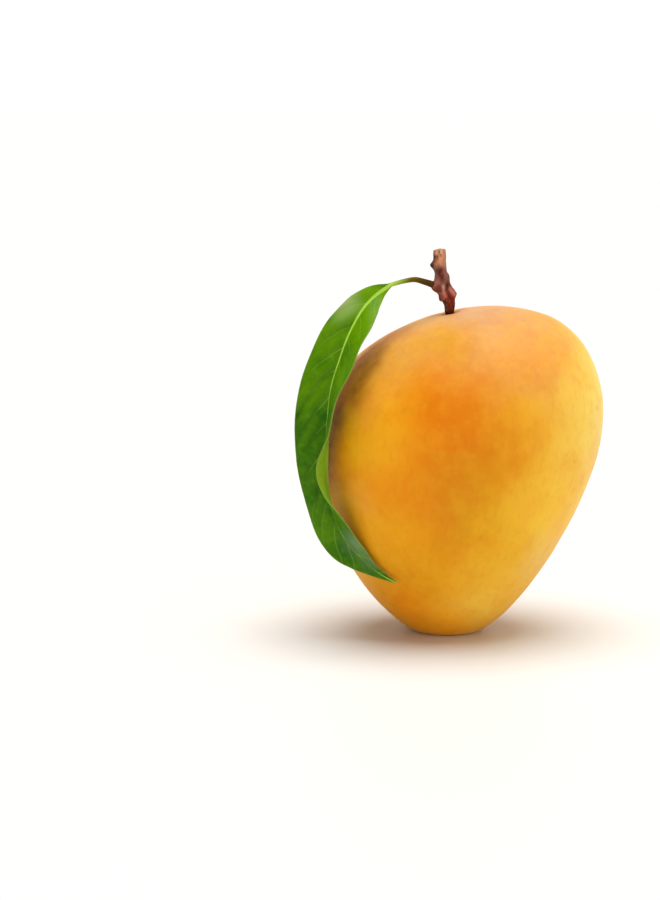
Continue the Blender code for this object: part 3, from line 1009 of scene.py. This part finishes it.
# %% [markdown]
# Side veins leave the midrib in pairs and bend towards the tip. They repeat by a rule, so they
# are a sum: the distance along the leaf, less a share of the distance across it, counts the
# veins, and its fraction says how near the next one is. The same sum raises the veins in
# Geometry Nodes and colours them in the finish, so the two always agree.

# %% Veins as a sum
VEIN_SPACING = 7.2 * MM
VEIN_SLANT = 0.62
SLANT_LENGTH = 80.0 * MM
BEND_LENGTH = 26.0 * MM
VEIN_WANDER = 5.0 * MM
PAIR_SHIFT = 0.21
VEIN_HALF_WIDTH = 0.07


def veins_passed(bench, place, along, across):
    """Counts the side veins, whole on a vein; the two halves don't quite pair up, and wander."""
    along = along + (noise(bench, place, 9 * MM, 1.0) - 0.5) * VEIN_WANDER
    distance = across.maths("ABSOLUTE")
    slant = along / SLANT_LENGTH + VEIN_SLANT
    bend = distance * distance / BEND_LENGTH
    return (along - distance * slant - bend) / VEIN_SPACING + across.maths("SIGN") * PAIR_SHIFT


def vein_share(count):
    """1 on a side vein and 0 away from it."""
    away = (count.maths("FRACT") - 0.5).maths("ABSOLUTE")
    return ((away - 0.5) / VEIN_HALF_WIDTH + 1).soft()


def calm_share(across):
    """1 on the left half and less on the right half, whose folded blade is stretched smoother."""
    return 1 - (across / (2 * MM)).clamp() * 0.7


def quilt_share(count):
    """0 on a side vein and 1 midway between two, for the puckered blade."""
    return 0.5 - (count * math.tau).maths("COSINE") * 0.5


# %% [markdown]
# The upper side is a deep glossy green, paler along the midrib and the veins, and the underside
# is a pale lime that is duller. The margin is a thin pale line. All of that follows the leaf and
# not the room, so the finish reads the leaf's own attributes. Pale patches near the base and the
# tip of the upper side are painted reflections of the bright room, and dark lines along the sunken
# side veins are painted shade of the creases.

# %% Finish of the leaf
BLADE_LENGTH = 99.0 * MM
RIB_HALF_WIDTH = 0.55 * MM

# Patches of the upper side, some of them painted reflections, in millimetres: centre, reach,
# strength and colour
LEAF_PATCHES_AND_PAINTED_SHEEN = [
    # Painted reflection: a pale grey green sheen near the base of the left half
    ((-29.5, -9.5, 97.0), 6.0, 0.75, paint(164, 186, 118)),
    ((-31.5, -11.0, 94.0), 5.0, 0.60, paint(140, 174, 80)),
    ((-27.8, -12.5, 84.0), 2.4, 0.60, paint(20, 66, 0)),
    # Painted reflection: a blue green sheen on the right half near the tip
    ((-26.0, -20.5, 30.5), 7.5, 0.80, paint(118, 144, 102)),
    ((-22.5, -21.5, 25.0), 5.5, 0.65, paint(104, 136, 88)),
    ((-18.0, -21.8, 20.3), 4.5, 0.70, paint(36, 88, 0)),
]


def attribute(bench, name):
    return bench.get("Fac", "ShaderNodeAttribute", {"attribute_name": name})


def make_leaf_green():
    material, bench, shader = new_finish("leaf green", {
        "Specular IOR Level": 0.08,
        "Subsurface Weight": 0.06,
        "Subsurface Radius": (0.4, 1.0, 0.2),
        "Subsurface Scale": 0.5 * MM,
    })
    place = bench.get("Object", "ShaderNodeTexCoord")
    across, rim, upper, along = (attribute(bench, name) for name in LEAF_ATTRIBUTES)
    distance = across.maths("ABSOLUTE")
    count = veins_passed(bench, place, along, across)
    vein = vein_share(count) * (1 - distance / (9.5 * MM)).clamp()
    quilt = quilt_share(count)
    patchy = noise(bench, place, 7 * MM, 4.0, 0.6)
    top = bench.mix((patchy * 3 - 1.0).clamp(), paint(42, 104, 0), paint(86, 136, 0))
    mottle = noise(bench, place, 1.5 * MM, 3.0, 0.65)
    top = bench.mix((mottle * 5 - 2.7).clamp() * 0.35, top, paint(112, 160, 40))
    top = bench.mix((2.1 - mottle * 5).clamp() * 0.35, top, paint(24, 76, 0))
    near_base = (1 - along / (45 * MM)).clamp()
    top = bench.mix(near_base * 0.6, top, paint(122, 170, 0))
    # Painted shade: dark lines where the blade creases along the sunken side veins
    painted_crease_shade = (1 - quilt) ** 3 * (noise(bench, place, 11 * MM, 1.0) * 5 - 2.1).clamp()
    painted_crease_shade = painted_crease_shade * calm_share(across)
    top = bench.mix(painted_crease_shade * 0.55, top, paint(26, 72, 0))
    for centre, reach, strength, patch in LEAF_PATCHES_AND_PAINTED_SHEEN:
        top = bench.mix(patch_share(bench, place, centre, reach) * strength, top, patch)
    top = bench.mix(vein * (1 - painted_crease_shade) * 0.8, top, paint(124, 170, 60))
    under = bench.mix((patchy * 3 - 1.0).clamp(), paint(120, 172, 24), paint(140, 190, 50))
    under = bench.mix(vein * 0.5, under, paint(150, 176, 80))
    colour = bench.mix(upper, under, top)
    taper = 1.25 - (along / BLADE_LENGTH).clamp() * 0.85
    ribbed = (1 - (distance / (taper * RIB_HALF_WIDTH) - 0.5) / 0.5).soft()
    colour = bench.mix(ribbed, colour, paint(172, 214, 76))
    margin = (1 - rim / (0.35 * MM)).soft()
    colour = bench.mix(margin * 0.6, colour, paint(136, 156, 70))
    stalked = (along / (-6 * MM)).clamp()
    colour = bench.mix(stalked, colour, paint(104, 96, 8))
    brown = (along / (-8 * MM) - 0.45).soft()
    colour = bench.mix(brown * 0.85, colour, paint(72, 40, 12))
    plug(bench.tree, shader.inputs["Base Color"], colour)
    rough = 0.34 + (1 - upper) * 0.2 + noise(bench, place, 3 * MM) * 0.12
    plug(bench.tree, shader.inputs["Roughness"], rough)
    roughened(bench, shader, noise(bench, place, 0.6 * MM, 3.0), 0.03 * MM)
    return material


leaf_green = make_leaf_green()
print("leaf green:", len(leaf_green.node_tree.nodes), "nodes")

# %% [markdown]
# Side veins, the midrib and the pucker of the blade between the veins are raised in Geometry
# Nodes, because their relief shows at the margin and in the gloss, which a Bump alone can't give.
# A vein is raised on the underside and slightly sunk on the upper side.

# %% The leaf
LEAF_SIZES = {"Vein Height": 0.10 * MM, "Quilt Height": 0.22 * MM, "Rib Height": 0.16 * MM}


def make_leaf():
    tree, bench, size = geometry_tree("leaf veins", LEAF_SIZES)
    across, rim, upper, along = (
        bench.get("Attribute", "GeometryNodeInputNamedAttribute", {"data_type": "FLOAT"}, {"Name": name})
        for name in LEAF_ATTRIBUTES
    )
    distance = across.maths("ABSOLUTE")
    inside = (rim / (1.5 * MM)).clamp() * (along / (3 * MM)).clamp()
    place = bench.get("Position", "GeometryNodeInputPosition")
    count = veins_passed(bench, place, along, across)
    vein = vein_share(count) * inside
    quilt = quilt_share(count) * inside * (distance / (2.5 * MM)).clamp() * calm_share(across)
    rib = exp((distance / (0.38 * MM)) ** 2 * -1) * inside
    side = upper * 2 - 1
    rise = quilt * size["Quilt Height"] * side + vein * size["Vein Height"] * (1 - side * 1.4)
    rise = rise + rib * size["Rib Height"] * upper
    normal = bench.get("Normal", "GeometryNodeInputNormal")
    moved = bench.get("Geometry", "GeometryNodeSetPosition", None,
                      {"Geometry": size["Geometry"], "Offset": bench.scaled(normal, rise)})
    close_tree(bench, moved, leaf_green)
    leaf = grown_mesh("leaf_blade", leaf_loft(), tree, LEAF_SIZES, leaf_green)
    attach(leaf, "root")
    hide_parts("leaf")
    return leaf


leaf = make_leaf()

# %% [markdown]
# The mango stands on a plain white table in soft light. The floor is a wide, nearly matt plane.
# White surroundings, brightest low down and darker on the left, light the cheeks from the side.
# One very wide light from above lights the crown, and leaves a shadow with no edge round the foot.

# %% Floor and light
FLOOR_HALF = 6.0
FLOOR_LEVEL = -0.02 * MM
ROOM_COLOUR = (1.0, 0.97, 0.91, 1.0)
ROOM_LIGHT = 0.25
LOW_LIGHT = 1.13
LOW_REACH = 0.75
DARK_SIDE = 0.50
DARK_START = 0.16
DARK_SPAN = 0.4
KEY_DIRECTION = Vector((0.04, 0.02, 1.0))
KEY_STRENGTH = 3.3
KEY_SOFTNESS = math.radians(50)


def make_floor():
    material, bench, shader = new_finish("table", {
        "Base Color": (0.80, 0.785, 0.755, 1.0),
        "Roughness": 0.55,
        "Specular IOR Level": 0.20,
    })
    corners = [(-FLOOR_HALF, -FLOOR_HALF), (FLOOR_HALF, -FLOOR_HALF),
               (FLOOR_HALF, FLOOR_HALF), (-FLOOR_HALF, FLOOR_HALF)]
    mesh = start_mesh("table", [(x, y, FLOOR_LEVEL) for x, y in corners], [(0, 1, 2, 3)])
    mesh.materials.append(material)
    table = bpy.data.objects.new("table", mesh)
    bpy.context.scene.collection.objects.link(table)


def add_room():
    """White surroundings, brightest low down all round and darker on the left."""
    world = bpy.data.worlds.new("room")
    world.use_nodes = True
    bench = Bench(world.node_tree)
    world.node_tree.nodes.clear()
    direction = bench.get("Generated", "ShaderNodeTexCoord")
    x, _, z = bench.parts(direction)
    left = ((-x - DARK_START) / DARK_SPAN).soft()
    low = (1 - z / LOW_REACH).soft()
    strength = (ROOM_LIGHT + low * LOW_LIGHT - left * DARK_SIDE).maths("MAXIMUM", 0.0)
    back = bench.node("ShaderNodeBackground", None, {"Color": ROOM_COLOUR, "Strength": strength})
    output = bench.node("ShaderNodeOutputWorld")
    world.node_tree.links.new(back.outputs[0], output.inputs["Surface"])
    bpy.context.scene.world = world


def add_key():
    """One very wide, soft light from above."""
    data = bpy.data.lights.new("key", "SUN")
    data.energy = KEY_STRENGTH
    data.angle = KEY_SOFTNESS
    light = bpy.data.objects.new("key", data)
    light.location = KEY_DIRECTION
    light.rotation_euler = (-KEY_DIRECTION).to_track_quat("-Z", "Y").to_euler()
    bpy.context.scene.collection.objects.link(light)


make_floor()
add_room()
add_key()
bpy.context.scene.view_settings.view_transform = "Standard"
